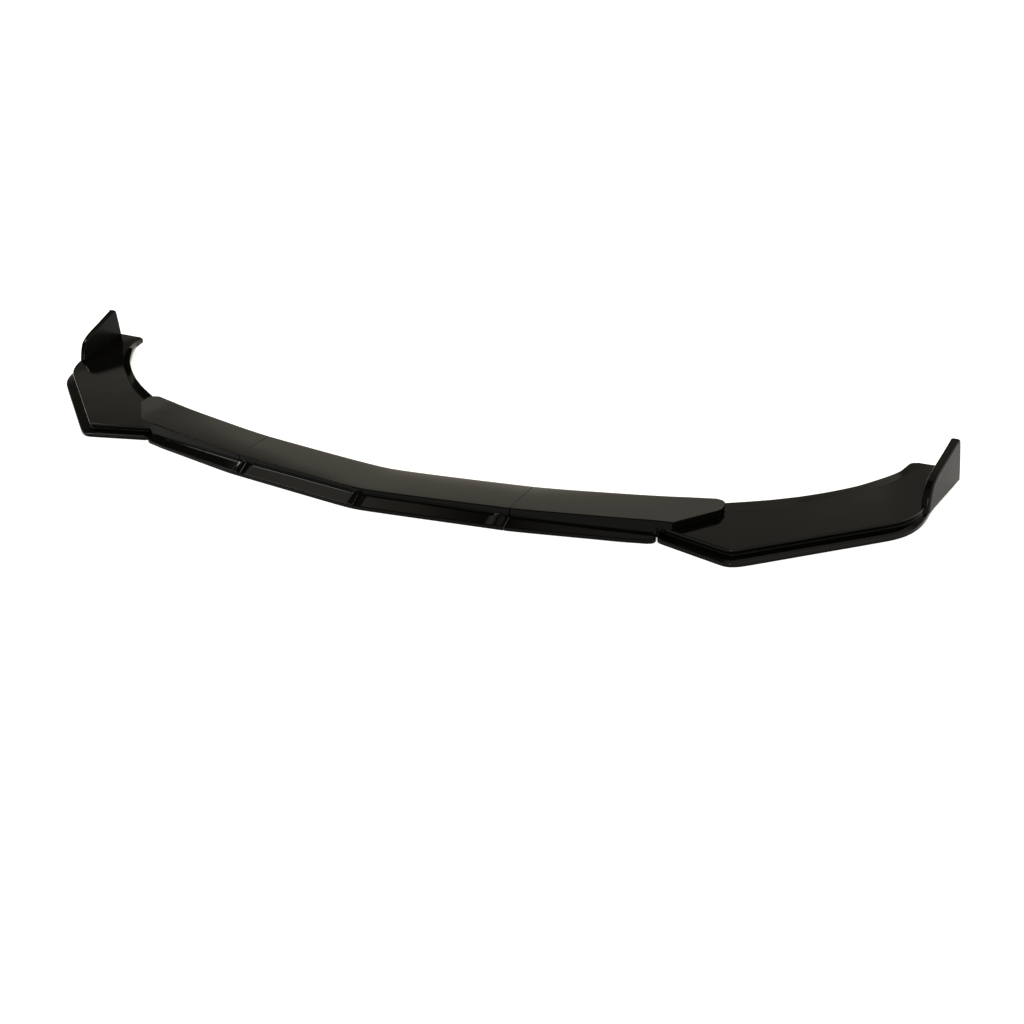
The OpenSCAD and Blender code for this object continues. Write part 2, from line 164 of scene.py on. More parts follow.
@dataclass(frozen=True)
class MouldedSurface:
    """The slow waves, haze and fine dust of a moulded face; scales are per metre."""

    name: str = "moulded_surface"
    wave_scale: float = 9.0
    wave_detail: float = 1.0
    haze_scale: float = 23.0
    haze_detail: float = 5.0
    dust_scale: float = 900.0
    dust_detail: float = 2.0
    dust_from: float = 0.66
    dust_full: float = 0.8

    def build(self) -> bpy.types.NodeTree:
        """Makes the node group.

        Returns:
            A group with the outputs Height, Roughness and Dust.
        """
        number = "NodeSocketFloat"
        group = new_group(
            self.name,
            {
                "Vector": ("NodeSocketVector", None),
                "Base Roughness": (number, 0.1),
                "Haze": (number, 0.05),
                "Wave Scale": (number, self.wave_scale),
                "Dust Amount": (number, 0.2),
            },
            {"Height": number, "Roughness": number, "Dust": number},
        )
        nodes, links = group.nodes, group.links
        enter, leave = nodes["Group Input"].outputs, nodes["Group Output"].inputs
        wave = noise(group, enter["Vector"], self.wave_scale, self.wave_detail)
        links.new(enter["Wave Scale"], wave.node.inputs["Scale"])
        links.new(wave, leave["Height"])
        haze = noise(group, enter["Vector"], self.haze_scale, self.haze_detail)
        swing = combine(group, "MULTIPLY", haze, enter["Haze"])
        links.new(combine(group, "ADD", swing, enter["Base Roughness"]), leave["Roughness"])
        speck = noise(group, enter["Vector"], self.dust_scale, self.dust_detail)
        cut = nodes.new("ShaderNodeMapRange")
        cut.inputs["From Min"].default_value = self.dust_from
        cut.inputs["From Max"].default_value = self.dust_full
        links.new(speck, cut.inputs["Value"])
        links.new(combine(group, "MULTIPLY", cut.outputs["Result"], enter["Dust Amount"]), leave["Dust"])
        return group


@dataclass(frozen=True)
class MouldedGloss:
    """Gloss-black moulded plastic, with the slow waves of a thin moulding and a little dust."""

    name: str
    colour: Triple = (0.0017, 0.0017, 0.0015)
    dust_colour: Triple = (0.06, 0.055, 0.045)
    roughness: float = 0.08
    haze: float = 0.03
    wave_scale: float = 9.0
    wave_depth: float = 0.0004
    dust: float = 0.12
    specular: float = 0.5

    def build(self, group: bpy.types.NodeTree) -> bpy.types.Material:
        """Makes the material.

        Args:
            group: The moulded surface group.

        Returns:
            The finished material.
        """
        material = bpy.data.materials.new(self.name)
        material.use_nodes = True
        nodes, links = material.node_tree.nodes, material.node_tree.links
        shader = nodes["Principled BSDF"]
        shader.inputs["Specular IOR Level"].default_value = self.specular
        place = nodes.new("ShaderNodeTexCoord")
        surface = nodes.new("ShaderNodeGroup")
        surface.node_tree = group
        surface.inputs["Base Roughness"].default_value = self.roughness
        surface.inputs["Haze"].default_value = self.haze
        surface.inputs["Wave Scale"].default_value = self.wave_scale
        surface.inputs["Dust Amount"].default_value = self.dust
        links.new(place.outputs["Object"], surface.inputs["Vector"])
        tint = nodes.new("ShaderNodeMix")
        tint.data_type = "RGBA"
        tint.inputs["A"].default_value = (*self.colour, 1.0)
        tint.inputs["B"].default_value = (*self.dust_colour, 1.0)
        links.new(surface.outputs["Dust"], tint.inputs["Factor"])
        links.new(tint.outputs["Result"], shader.inputs["Base Color"])
        links.new(surface.outputs["Roughness"], shader.inputs["Roughness"])
        bump = nodes.new("ShaderNodeBump")
        bump.inputs["Strength"].default_value = 1.0
        bump.inputs["Distance"].default_value = self.wave_depth
        links.new(surface.outputs["Height"], bump.inputs["Height"])
        links.new(bump.outputs["Normal"], shader.inputs["Normal"])
        return material


@dataclass(frozen=True)
class ZincSteel:
    """Zinc-plated steel of the joint screws and washers."""

    name: str = "zinc_steel_fastener"
    colour: Triple = (0.55, 0.56, 0.58)
    cloud_colour: Triple = (0.42, 0.42, 0.4)
    cloud_scale: float = 420.0
    cloud_detail: float = 4.0
    smoothest: float = 0.2
    roughest: float = 0.44

    def build(self) -> bpy.types.Material:
        """Makes the material, with the cloudy spangle of a thin zinc coat."""
        material = bpy.data.materials.new(self.name)
        material.use_nodes = True
        nodes, links = material.node_tree.nodes, material.node_tree.links
        shader = nodes["Principled BSDF"]
        shader.inputs["Metallic"].default_value = 1.0
        place = nodes.new("ShaderNodeTexCoord")
        cloud = noise(material.node_tree, place.outputs["Object"], self.cloud_scale, self.cloud_detail)
        tint = nodes.new("ShaderNodeMix")
        tint.data_type = "RGBA"
        tint.inputs["A"].default_value = (*self.colour, 1.0)
        tint.inputs["B"].default_value = (*self.cloud_colour, 1.0)
        links.new(cloud, tint.inputs["Factor"])
        links.new(tint.outputs["Result"], shader.inputs["Base Color"])
        rough = nodes.new("ShaderNodeMapRange")
        rough.inputs["To Min"].default_value = self.smoothest
        rough.inputs["To Max"].default_value = self.roughest
        links.new(cloud, rough.inputs["Value"])
        links.new(rough.outputs["Result"], shader.inputs["Roughness"])
        return material


@dataclass(frozen=True)
class PanelPaintedSheen:
    """The three copies of a panel's gloss-black material: a bright one that paints highlights, a dim one
    that paints shade, and a dim satin one that paints shade on the fin's faces.
    """

    painted_bright: bpy.types.Material
    painted_dim: bpy.types.Material
    painted_dim_satin: bpy.types.Material


@dataclass(frozen=True)
class Corner:
    """A corner of a cross-section: distance, height, reach of its rounding and painted sheen, which
    picks a brighter or dimmer copy of the gloss black to paint highlight and shade.
    """

    s: float
    z: float
    reach: float = 0.0
    painted_sheen: float = 1.0


def mix(a: float, b: float, share: float) -> float:
    """Value part of the way from a to b."""
    return a + (b - a) * share


def along(line: list[Flat], share: float) -> Flat:
    """Point at a share of a plan line's length.

    Args:
        line: Corners of the line.
        share: Share of the length, from 0 to 1.

    Returns:
        The point in plan.
    """
    lengths = [math.dist(a, b) for a, b in zip(line, line[1:])]
    left = share * sum(lengths)
    for (a, b), length in zip(zip(line, line[1:]), lengths):
        if left <= length or b == line[-1]:
            f = min(1.0, left / length)
            return mix(a[0], b[0], f), mix(a[1], b[1], f)
        left -= length
    return line[-1]


def smooth_row(table: list[tuple[float, ...]], x: float) -> list[float]:
    """Reads a table of plan rows at x with a smooth curve through its rows.

    Args:
        table: Rows that begin with their own x, in rising order.
        x: Where to read it.

    Returns:
        The other columns at x.
    """
    i = min(max(sum(1 for row in table if row[0] <= x) - 1, 0), len(table) - 2)
    a, b = table[max(i - 1, 0)], table[i]
    c, d = table[i + 1], table[min(i + 2, len(table) - 1)]
    span = c[0] - b[0]
    t = (x - b[0]) / span
    values = []
    for k in range(1, len(b)):
        m0 = (c[k] - a[k]) / (c[0] - a[0]) * span
        m1 = (d[k] - b[k]) / (d[0] - b[0]) * span
        values.append((2 * t**3 - 3 * t**2 + 1) * b[k] + (t**3 - 2 * t**2 + t) * m0
                      + (3 * t**2 - 2 * t**3) * c[k] + (t**3 - t**2) * m1)
    return values


def draw_section(corners: tuple[Corner, ...], turns: int = 5) -> list[Triple]:
    """Rounds the corners of a closed section.

    Args:
        corners: The corners in order.
        turns: Points that each rounded corner is drawn with.

    Returns:
        Distance, height and painted sheen of every point.
    """
    points = []
    for i, corner in enumerate(corners):
        if corner.reach <= 0.0:
            points.append((corner.s, corner.z, corner.painted_sheen))
            continue
        ends = []
        for other in (corners[i - 1], corners[(i + 1) % len(corners)]):
            length = max(math.hypot(other.s - corner.s, other.z - corner.z), TINY)
            f = min(corner.reach, LONGEST_CUT * length) / length
            ends.append((mix(corner.s, other.s, f), mix(corner.z, other.z, f)))
        (s0, z0), (s1, z1) = ends
        for k in range(turns):
            t = k / (turns - 1)
            u, v, w = (1 - t) ** 2, 2 * t * (1 - t), t * t
            points.append((u * s0 + v * corner.s + w * s1, u * z0 + v * corner.z + w * z1, corner.painted_sheen))
    return points


def shrink(points: list[Triple], amount: float) -> list[Triple]:
    """Moves a closed section's outline inwards, which rounds the rim of a panel's end.

    Args:
        points: Distance, height and painted sheen of every point.
        amount: How far the outline moves.

    Returns:
        The smaller outline.
    """
    if amount <= 0.0:
        return points
    area = sum(a[0] * b[1] - b[0] * a[1] for a, b in zip(points, points[1:] + points[:1]))
    turn = 1.0 if area > 0 else -1.0
    result = []
    for i, (s, z, painted_sheen) in enumerate(points):
        before, after = points[i - 1], points[(i + 1) % len(points)]
        ds, dz = after[0] - before[0], after[1] - before[1]
        length = max(math.hypot(ds, dz), TINY)
        result.append((s - turn * amount * dz / length, z + turn * amount * ds / length, painted_sheen))
    return result


def rim(radius: float, count: int = 4) -> list[Flat]:
    """Steps of a rounded rim, from the end inwards.

    Args:
        radius: Radius of the rim.
        count: Steps that the quarter turn is drawn with.

    Returns:
        Distance from the end and inset of every step.
    """
    steps = []
    for k in range(count + 1):
        angle = math.pi / 2 * k / count
        steps.append((radius * (1 - math.cos(angle)), radius * (1 - math.sin(angle))))
    return steps


class MeshBench:
    """Collects the closed solids of one panel and turns them into an object."""

    def __init__(self, name: str, side: Side) -> None:
        """Starts an empty bench.

        Args:
            name: Name of the finished object.
            side: Half of the car; the left half turns X over.
        """
        self.name = name
        self.side = side
        self.work = bmesh.new()
        # A layer of painted sheen: it picks the copy of the gloss black that paints a highlight or shade
        # on each face.
        self.painted_sheen = self.work.verts.layers.float.new("painted_sheen")

    def spot(self, x: float, y: float, z: float) -> Vector:
        """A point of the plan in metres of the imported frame."""
        return Vector((x * self.side.value, y - PLAN_MID_Y, z)) * MM

    @staticmethod
    def partner(vert: bmesh.types.BMVert, fresh: set[bmesh.types.BMVert]) -> bmesh.types.BMVert:
        """The new vertex that was drawn out of an older one."""
        return next(e.other_vert(vert) for e in vert.link_edges if e.other_vert(vert) in fresh)

    def loft(self, loops: list[Loop]) -> None:
        """Draws a closed solid through loops, by extruding the first loop from station to station.

        Args:
            loops: For every station its points as x, y, z and painted sheen.
        """
        ring = []
        for x, y, z, painted_sheen in loops[0]:
            vert = self.work.verts.new(self.spot(x, y, z))
            vert[self.painted_sheen] = painted_sheen
            ring.append(vert)
        edges = list(self.work.faces.new(ring).edges)
        for loop in loops[1:]:
            made = bmesh.ops.extrude_edge_only(self.work, edges=edges)["geom"]
            fresh = {item for item in made if isinstance(item, bmesh.types.BMVert)}
            edges = [item for item in made
                     if isinstance(item, bmesh.types.BMEdge) and set(item.verts) <= fresh]
            ring = [self.partner(vert, fresh) for vert in ring]
            for vert, (x, y, z, painted_sheen) in zip(ring, loop):
                vert.co = self.spot(x, y, z)
                vert[self.painted_sheen] = painted_sheen
        self.work.faces.new(ring)

    def plate(self, outline: list[Triple], step: Triple) -> None:
        """Makes a flat plate by extruding an outline.

        Args:
            outline: Corners as x, y and z.
            step: How far it is extruded along each axis.
        """
        verts = [self.work.verts.new(self.spot(*point)) for point in outline]
        face = self.work.faces.new(verts)
        made = bmesh.ops.extrude_face_region(self.work, geom=[face], use_keep_orig=True)["geom"]
        move = Vector((step[0] * self.side.value, step[1], step[2])) * MM
        moved = [item for item in made if isinstance(item, bmesh.types.BMVert)]
        bmesh.ops.translate(self.work, vec=move, verts=moved)

    def tube(self, centre: Flat, low: float, high: float, outer: float, inner: float) -> None:
        """Makes an upright tube, such as a screw boss with its bore.

        Args:
            centre: Place of its axis in plan.
            low: Height of its foot.
            high: Height of its top.
            outer: Outer radius.
            inner: Radius of the bore.
        """
        rings = []
        for radius, z in ((inner, low), (outer, low), (outer, high), (inner, high)):
            place = Matrix.Translation(self.spot(*centre, z))
            made = bmesh.ops.create_circle(self.work, segments=TUBE_SIDES, radius=radius * MM,
                                           matrix=place)
            rings.append([e for v in made["verts"] for e in v.link_edges])
        for a, b in zip(rings, rings[1:] + rings[:1]):
            bmesh.ops.bridge_loops(self.work, edges=list(set(a + b)))

    def finish(self, slot: Slot, finish: PanelPaintedSheen) -> bpy.types.Object:
        """Turns the collected solids into an object that stands for a CAD node.

        Args:
            slot: Material slot of the record; not used.
            finish: The bright, dim and dim satin copies of the gloss black, which paint highlight and
                shade.

        Returns:
            The object, riding on the body.
        """
        bmesh.ops.recalc_face_normals(self.work, faces=self.work.faces)
        for face in self.work.faces:
            face.smooth = True
            # Each face takes the bright, dim or dim satin copy of the gloss black by its corners'
            # painted sheen: painted highlight on the tops, painted shade on the fronts, rims and fin
            # faces.
            painted_sheen = sum(v[self.painted_sheen] for v in face.verts) / len(face.verts)
            face.material_index = 0 if painted_sheen > PAINTED_BRIGHT_ABOVE else 1 if painted_sheen > PAINTED_DIM_ABOVE else 2
        for edge in self.work.edges:
            edge.smooth = len(edge.link_faces) == 2 and edge.calc_face_angle(0.0) < CREASE
        mesh = bpy.data.meshes.new(self.name)
        self.work.to_mesh(mesh)
        self.work.free()
        for material in (finish.painted_bright, finish.painted_dim, finish.painted_dim_satin):
            mesh.materials.append(material)
        thing = bpy.data.objects.new(self.name, mesh)
        bpy.context.scene.collection.objects.link(thing)
        weigh = thing.modifiers.new("even_shading", "WEIGHTED_NORMAL")
        weigh.keep_sharp = True
        weigh.weight = 70
        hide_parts(self.name.removesuffix("_dressed"))
        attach(thing, BODY)
        return thing


@dataclass(frozen=True)
class LipPlan:
    """Plan, heights and sections of the centre and inner panels, in the plan's millimetres.

    The heights are those of the nose and of the level outer ends; the ramp is the groove's slope, and
    the gusset values say where a gusset stands and how wide its flanks are.
    """

    seam_x: float = 264.0
    level_x: float = 520.0
    level_h: float = 34.2
    nose_h: float = 25.5
    wall: float = 3.0
    gap: float = 1.3
    lip_top: float = 8.1
    groove: float = 0.9
    blade_z: float = 21.82
    ease: float = 0.06
    front_rise: float = 3.0
    rear_drop: float = 5.0
    rear_rise: float = 4.6
    crown: float = 4.0
    flange: float = 10.0
    ramp: float = 0.36
    ramp_start: float = 4.4
    gusset_start: float = 8.2
    gusset_in: float = 16.0
    gusset_inner: float = 12.0
    gusset_outer: float = 9.0
    rows: tuple[tuple[float, ...], ...] = (
        (285, 36.3, 149.3, 22.9), (325, 44.2, 155.1, 21.8), (370, 53.4, 162.8, 20.5),
        (415, 62.6, 170.6, 19.3), (450, 69.7, 177, 18.6), (490, 79.6, 185.2, 16.4),
        (520, 84.5, 192.6, 15), (550, 86, 200.5, 14), (590, 88, 212, 14))

    def outward(self, x: float) -> float:
        """Share of the way from a seam to the level outer end, eased in at the end."""
        share, ease = (abs(x) - self.seam_x) / (self.level_x - self.seam_x), self.ease
        if share > 1 - ease:
            share = min(share, 1 + ease)
            share -= (share - 1 + ease) ** 2 / (4 * ease)
        return max(0.0, share)

    def heights(self, x: float) -> tuple[float, float]:
        """Heights of the top's front and rear edges."""
        near, out = min(1.0, abs(x) / self.seam_x), self.outward(x)
        return (mix(self.nose_h + self.front_rise * near**2, self.level_h, out),
                mix(self.nose_h - self.rear_drop + self.rear_rise * near**1.5, self.level_h, out))

    def centre(self, x: float) -> list[float]:
        """Lip, rear edge and overhang of the centre panel at x."""
        lip = 2 + 0.1165 * math.hypot(x, 18)
        rear = 4.097 + 120.5 + 0.094 * (math.hypot(x, 30) - 30)
        return [lip, rear, mix(25.6, 23.4, (x / self.seam_x) ** 2)]

    def plan(self, x: float) -> list[float]:
        """Lip, rear edge and overhang at x on any panel."""
        if abs(x) <= self.seam_x:
            return self.centre(x)
        table = [(float(k), *self.centre(k)) for k in (self.seam_x - 22, self.seam_x)] + list(self.rows)
        return smooth_row(table, abs(x))

    @property
    def gusset_x(self) -> float:
        """Place of the gusset beside a seam."""
        return self.seam_x - self.gusset_in

    def wedge(self, x: float) -> float:
        """Share of a gusset's full height at x."""
        a = abs(x)
        if a < self.gusset_x:
            near = 1 - (self.gusset_x - a) / self.gusset_inner
        else:
            near = 1 - (a - self.gusset_x) / self.gusset_outer
        return max(0.0, 1 - a / self.gusset_inner, near)

    def section(self, x: float, overhang: float, depth: float,
                floor: bool = False) -> tuple[Corner, ...]:
        """Corners of the closed section, measured from the top's front edge.

        Args:
            x: Place along the lip, which sets the heights.
            overhang: How far the lip stands out before the top's front edge.
            depth: Distance from the top's front edge to its rear edge.
            floor: Whether the section ends at the side panel's blade and has no lip.

        Returns:
            Corners from the lip's foot over the top to the rear flange and back inside.
        """
        p, d, out = overhang, depth, self.outward(x)
        hf, hr = self.heights(x)
        u, w = self.groove * (1 - out), min(self.wall, 0.3 * d)
        run = self.lip_top + self.ramp * (p - self.gusset_start)
        low = self.lip_top + self.ramp * (p - self.ramp_start + u)
        g = self.wedge(x)
        tip = 5.0 if abs(x) < self.seam_x / 2 else 2.0
        crown = self.crown * (1 - out)

        def top(f: float) -> float:
            """Height of the top at a share of its depth."""
            return mix(hf, hr, f) + crown * f * (1 - f)

        # Corners of the top and the rear face carry painted sheen 1 and take the bright copy, a painted
        # highlight; the front, the top's front edge and the inside carry 0 and take the dim copy,
        # painted shade.
        if floor:
            z = self.blade_z
            front = (Corner(w, z, 0, 0), Corner(-0.7, z, 0.2, 0), Corner(-0.7, z + 0.6, 0.2, 0),
                     Corner(-0.65, z + 1.6, 0.3, 0), Corner(-0.55, z + 3.6, 0.6, 0))
            inside = (Corner(w - 0.4, z + 4, 0.5, 0), Corner(w - 0.3, z + 2, 0.2, 0))
        else:
            front = (Corner(-p + 3.4, 0.0, 0, 0), Corner(-p, 0.0, 1.2, 0), Corner(-p, 6.95, 1.5, 0),
                     Corner(mix(-1.2 + u, -tip, g), mix(low, run + 5.1, g), mix(3.2, 0.9, g), 0),
                     Corner(mix(-0.9 + u * 0.7, -0.7, g), mix(low + 4.2, run + 7.3, g), 1.4, 0))
            inside = (Corner(w - 1.2 + u, low + 1.2, 2.0, 0), Corner(-p + 3.6, 4.6, 1.2, 0))
        cover = [Corner(f * d, top(f), 0, 1) for f in (0.03, 0.12, 0.25, 0.4, 0.55, 0.7, 0.83, 0.93)]
        roof = [Corner(f * d, top(f) - self.wall, 0, 0) for f in (0.9, 0.6, 0.3)]
        return (*front, Corner(0.0, hf, 1.5, 0), *cover, Corner(d, hr, 2.8, 1),
                Corner(d, hr - self.flange, 0.8, 1), Corner(d - w, hr - self.flange, 0.6, 0),
                Corner(d - w, hr - self.wall, 1.6, 0), *roof,
                Corner(w + 0.3, hf - self.wall, 1.4, 0), *inside)

    def loop(self, front: Flat, rear: Flat, corners: tuple[Corner, ...], inset: float = 0.0) -> Loop:
        """Lays a section in plan along the line from its front edge to its rear edge.

        Args:
            front: Place of the top's front edge.
            rear: Place of the top's rear edge.
            corners: The section.
            inset: How far its outline is drawn in.

        Returns:
            The closed loop.
        """
        d = math.dist(front, rear)
        ux, uy = (rear[0] - front[0]) / d, (rear[1] - front[1]) / d
        return [(front[0] + s * ux, front[1] + s * uy, z, painted_sheen)
                for s, z, painted_sheen in shrink(draw_section(corners), inset)]

    def at(self, x: float, inset: float = 0.0) -> Loop:
        """Loop of a straight cross-section at x."""
        foot, rear, p = self.plan(x)
        return self.loop((x, foot + p), (x, rear), self.section(x, p, rear - foot - p), inset)

    def rib(self, bench: MeshBench, x: float) -> None:
        """Adds a cross rib that fills the hollow underside at x."""
        foot, rear, p = self.plan(x)
        d, y = rear - foot - p, foot + p
        hf, hr = self.heights(x)
        outline = [(-p + 4, 1.4), (-p + 2, 4), (-p + 3, 6), (-1.5, 13.5), (1.6, 16), (1.4, hf - 1.6),
                   (d - 1.5, hr - 1.6), (d - 1.5, hr - 9)]
        bench.plate([(x - RIB / 2, y + s, z) for s, z in outline], (RIB, 0, 0))

    def long_rib(self, bench: MeshBench, start: float, stop: float) -> None:
        """Adds a rib that runs along the middle of a panel's hollow underside.

        Args:
            bench: Bench of the panel.
            start: Place along X where the rib begins.
            stop: Place where it ends.
        """
        loops, half, count = [], RIB / 2, 24
        for k in range(count + 1):
            x = mix(start, stop, k / count)
            foot, rear, p = self.plan(x)
            hf, hr = self.heights(x)
            y, top = (foot + p + rear) / 2, (hf + hr) / 2 - 1.4
            low = (hr - self.flange) * 0.55
            loops.append([(x, y - half, low, 0.0), (x, y + half, low, 0.0),
                          (x, y + half, top, 0.0), (x, y - half, top, 0.0)])
        bench.loft(loops)


@dataclass(frozen=True)
class SidePlan:
    """Plan and heights of a side panel: lip, edge and inner edge in plan, then three heights."""

    blade: float = 21.7
    ridge: float = 29.0
    strip: float = 20.0
    wall: float = 3.0
    lip_depth: float = 15.5
    rows: tuple[tuple[float, ...], ...] = (
        (500, 93, 504, 103, 526, 183, 0, 0, 0), (506, 87.5, 512, 100, 540, 188, 0, 0, 0),
        (526, 82, 532, 95, 566, 200, 0, 0, 0), (562, 73, 566, 86.5, 604, 221.5, 0, 0, 0),
        (594, 65, 598, 79, 636, 241, 0, 0, 0), (610, 61, 613, 76.5, 654, 253.5, 0, 0, 0),
        (621, 59.5, 621, 76, 663, 260, 0, 0, 0), (632, 62.5, 628, 79, 674, 268, 0, 0, 0),
        (648, 73, 638, 88, 690, 281, 0, 0, 0), (695, 113.5, 683, 127, 718, 306, 0, 0, 0),
        (752, 163, 740, 177, 750, 339, 0, 0.1, 0), (806, 210, 794, 223.5, 778, 377, 0, 0.6, 0),
        (836, 238, 823, 249, 793, 400, 0.1, 1.6, 0), (853, 264, 839, 266, 802, 418, 0.5, 3, 0),
        (862, 291, 853, 290, 805, 430, 1.3, 4, 0), (866, 318, 861, 316, 807.5, 440, 2.2, 4.8, 0.5),
        (868, 345, 864, 344, 809.5, 448, 3.2, 5.5, 1.5), (876, 400, 872, 398, 813, 453, 5.2, 6.4, 5),
        (887, 458, 884, 458, 821, 455.5, 7, 7.1, 9))

    def row(self, s: float) -> list[float]:
        """Row s of the table, with a smooth curve between the rows."""
        table = [(float(i), *row) for i, row in enumerate(self.rows)]
        row = smooth_row(table, s)
        row[8] = max(0.0, row[8])
        return row

    def section(self, r: list[float]) -> tuple[Corner, ...]:
        """Corners of the closed section of a row, measured from the blade's edge."""
        e, c, z = self.blade + r[6], self.blade + r[7], r[8]
        k, w, h = (e - z) / self.blade, self.wall, self.ridge
        span = math.dist((r[2], r[3]), (r[4], r[5]))

        def lip(s: float, up: float, reach: float, painted_sheen: float) -> Corner:
            """A corner that is measured from the lip."""
            return Corner(s - self.lip_depth, z + up * k, reach, painted_sheen)

        def flat(s: float, up: float, reach: float, painted_sheen: float) -> Corner:
            """A corner that is measured from the edge, or from the inner edge where s is negative."""
            return Corner(s if s >= 0 else span + s, up, reach, painted_sheen)

        mid = (span - self.strip - 3) / 2
        # Corners on the top, its edges and the lip's upper edge carry painted sheen 1 and take the
        # bright copy, a painted highlight; the lip's front, the groove and the underside carry 0 and
        # take the dim copy, painted shade.
        return (lip(3.4, 0, 0, 0), lip(0, 0, 1.2, 0), lip(0, 6.6, 1.9, 1), lip(17.4, 10.4, 2.4, 0),
                lip(17.2, 15.4, 2.2, 0), lip(14.9, 17.1, 0.9, 0), lip(15.0, e / k - z / k, 1.7, 1),
                flat(4.0, e, 0, 1), flat(mid * 0.5, mix(e, c, 0.25), 0, 1),
                flat(mid, mix(e, c, 0.5), 0, 1), flat(mid * 1.5, mix(e, c, 0.75), 0, 1),
                flat(-self.strip - 1.5, c, 2.6, 1), flat(-self.strip * 0.5, mix(c, h, 0.58), 0, 1),
                flat(-0.01, h + 0.45, 3.6, 1), flat(-0.01, h - 8, 0.8, 1), flat(-w, h - 8, 0.6, 0),
                flat(-w, h - w - 0.5, 1.2, 0), flat(-self.strip - 1.5, c - w, 2.0, 0),
                flat(mid, mix(e, c, 0.5) - w, 0, 0), flat(4.6, e - w, 1.4, 0), lip(18.8, 17.6, 1.0, 0),
                lip(20.4, 13, 1.6, 0), lip(18.4, 7.6, 1.6, 0), lip(3.8, 4.2, 1.0, 0))

    def place(self, r: list[float], d: float) -> Flat:
        """Place in plan at a distance behind a row's edge, or before it where that is negative."""
        lip, edge, inner = (r[0], r[1]), (r[2], r[3]), (r[4], r[5])
        if d < 0:
            a, b, f = lip, edge, 1 + d / self.lip_depth
        else:
            a, b, f = edge, inner, d / math.dist(edge, inner)
        return mix(a[0], b[0], f), mix(a[1], b[1], f)

    def at(self, s: float) -> Loop:
        """Loop of the section at row s."""
        r = self.row(s)
        return [(*self.place(r, d), z, painted_sheen) for d, z, painted_sheen in draw_section(self.section(r))]

    def rib(self, bench: MeshBench, s: float) -> None:
        """Adds a cross rib under the blade at row s."""
        r = self.row(s)
        ahead = self.row(min(float(len(self.rows) - 1), s + 0.2))
        way = Vector((ahead[2] - r[2] + ahead[4] - r[4], ahead[3] - r[3] + ahead[5] - r[5]))
        way = way.normalized() * RIB
        e, c, z = self.blade + r[6], self.blade + r[7], r[8]
        span, k = math.dist((r[2], r[3]), (r[4], r[5])), (e - z) / self.blade
        outline = []
        for d, up in ((-11.5, z + 1.6 * k), (-12.5, z + 4 * k), (-11.5, z + 6 * k), (3, z + 9 * k),
                      (3.6, z + 15 * k), (2.0, e - 1.5), (span - self.strip - 1.5, c - 1.6),
                      (span - 2, self.ridge - 1.8), (span - 1.6, self.ridge - 7.4)):
            x, y = self.place(r, d)
            outline.append((x - way.x / 2, y - way.y / 2, up))
        bench.plate(outline, (way.x, way.y, 0))


@dataclass(frozen=True)
class FinPlan:
    """The upright fin: an outline in its own plane that is rounded over its edge.

    Every row is a place along the car, its height, and the outline's outward direction there.
    """

    thick: float = 13.5
    nose_out: float = 7.0
    tail_out: float = 4.5
    height: float = 88.0
    lean: float = 0.06
    turn: float = 0.178
    foot_x: float = 861.0
    turn_y: float = 322.0
    lean_z: float = 26.0
    nose_y: float = 316.0
    length: float = 144.0
    rim_radius: float = 4.0
    outer_rim: float = 2.3
    tail_rim: float = 0.5
    tail_row: float = 9.0
    steps: int = 5
    rows: tuple[tuple[float, ...], ...] = (
        (313.2, 12, -0.97, 0.2), (317, 27, -0.96, 0.27), (322.4, 43, -0.93, 0.36),
        (330.5, 56, -0.75, 0.6), (344, 63.5, -0.5, 0.87), (358, 68.2, -0.35, 0.94),
        (380, 73.5, -0.28, 0.96), (408, 79.8, -0.25, 0.97), (434, 86.2, -0.22, 0.97), (442, 88, 0.1, 1),
        (448.5, 85.5, 0.7, 0.7), (451.5, 79, 1, 0.2), (456, 50, 1, 0.1), (460, 9.5, 1, 0))

    def loop(self, depth: float, inset: float, outer: bool) -> Loop:
        """Outline of the fin at a depth below one of its faces.

        Args:
            depth: Distance from the face.
            inset: How far the outline is drawn in there.
            outer: Whether the depth is measured from the outer face.

        Returns:
            Points of the outline.
        """
        table = [(float(i), *row) for i, row in enumerate(self.rows)]
        count = self.steps * (len(self.rows) - 1)
        points = []
        for k in range(count + 1):
            s = k / self.steps
            inner_row = 0 < k < count
            y0, z0, oy, oz = smooth_row(table, s) if inner_row else self.rows[0 if k == 0 else -1]
            width = self.tail_rim if s > self.tail_row else self.outer_rim if outer else 1.0
            scale = inset * width / max(math.hypot(oy, oz), 0.1)
            y, z = y0 - oy * scale, z0 - (oz * scale if inner_row else 0.0)
            face = mix(self.nose_out, self.tail_out, (y0 - self.nose_y) / self.length)
            off = face - (depth if outer else self.thick - depth)
            x = self.foot_x + self.turn * (y - self.turn_y) - self.lean * (z - self.lean_z) + off
            # The fin's two flat faces carry painted sheen -1 and take the dim satin copy, painted shade;
            # its rounded rims carry 0 and take the dim copy, painted shade.
            points.append((x, y, min(z, self.height), -1.0 if depth == 0.0 else 0.0))
        return points

    def loops(self) -> list[Loop]:
        """Outlines from the inner face to the outer one, rounded over both faces' rims."""
        steps = rim(self.rim_radius, 5)
        return ([self.loop(d, r, False) for d, r in steps]
                + [self.loop(d, r, True) for d, r in reversed(steps)])


